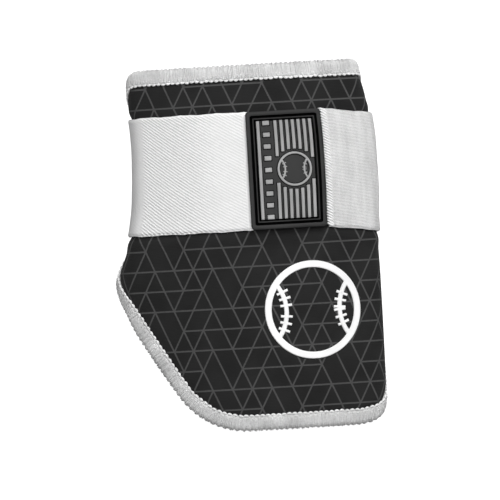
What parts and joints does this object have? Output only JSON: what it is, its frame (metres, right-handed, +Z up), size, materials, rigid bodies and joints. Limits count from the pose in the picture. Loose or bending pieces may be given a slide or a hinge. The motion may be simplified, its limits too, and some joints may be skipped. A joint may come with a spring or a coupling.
{
  "type": "baseball elbow guard",
  "caption": "Padded, strap-on elbow guard: a wrapped soft shell with corded edge binding, a wide elastic strap that closes round the arm and a moulded pull tab.",
  "frame": {"origin": "on the surface that the guard lies on, under the middle of its bounding box", "axes": "+Z up out of the padded face, +Y along the arm towards the shoulder, where the strap is, +X across the arm"},
  "size_m": [0.1346, 0.1826, 0.0507],
  "materials": {
    "printed_fabric": "matte black knit with a fine grey triangle-line print",
    "binding_yarn": "fuzzy white serged yarn",
    "strap_elastic": "white woven twill elastic",
    "strap_loop": "white brushed loop pile",
    "tab_rubber": "moulded dark grey rubber with light grey relief",
    "emblem_film": "satin white moulded film"
  },
  "bodies": {
    "root": {"pad": "printed_fabric", "edge_binding": "binding_yarn", "elastic_strap": "strap_elastic", "loop_strap": "strap_loop", "pull_tab": "tab_rubber", "emblem": "emblem_film"}
  },
  "joints": []
}
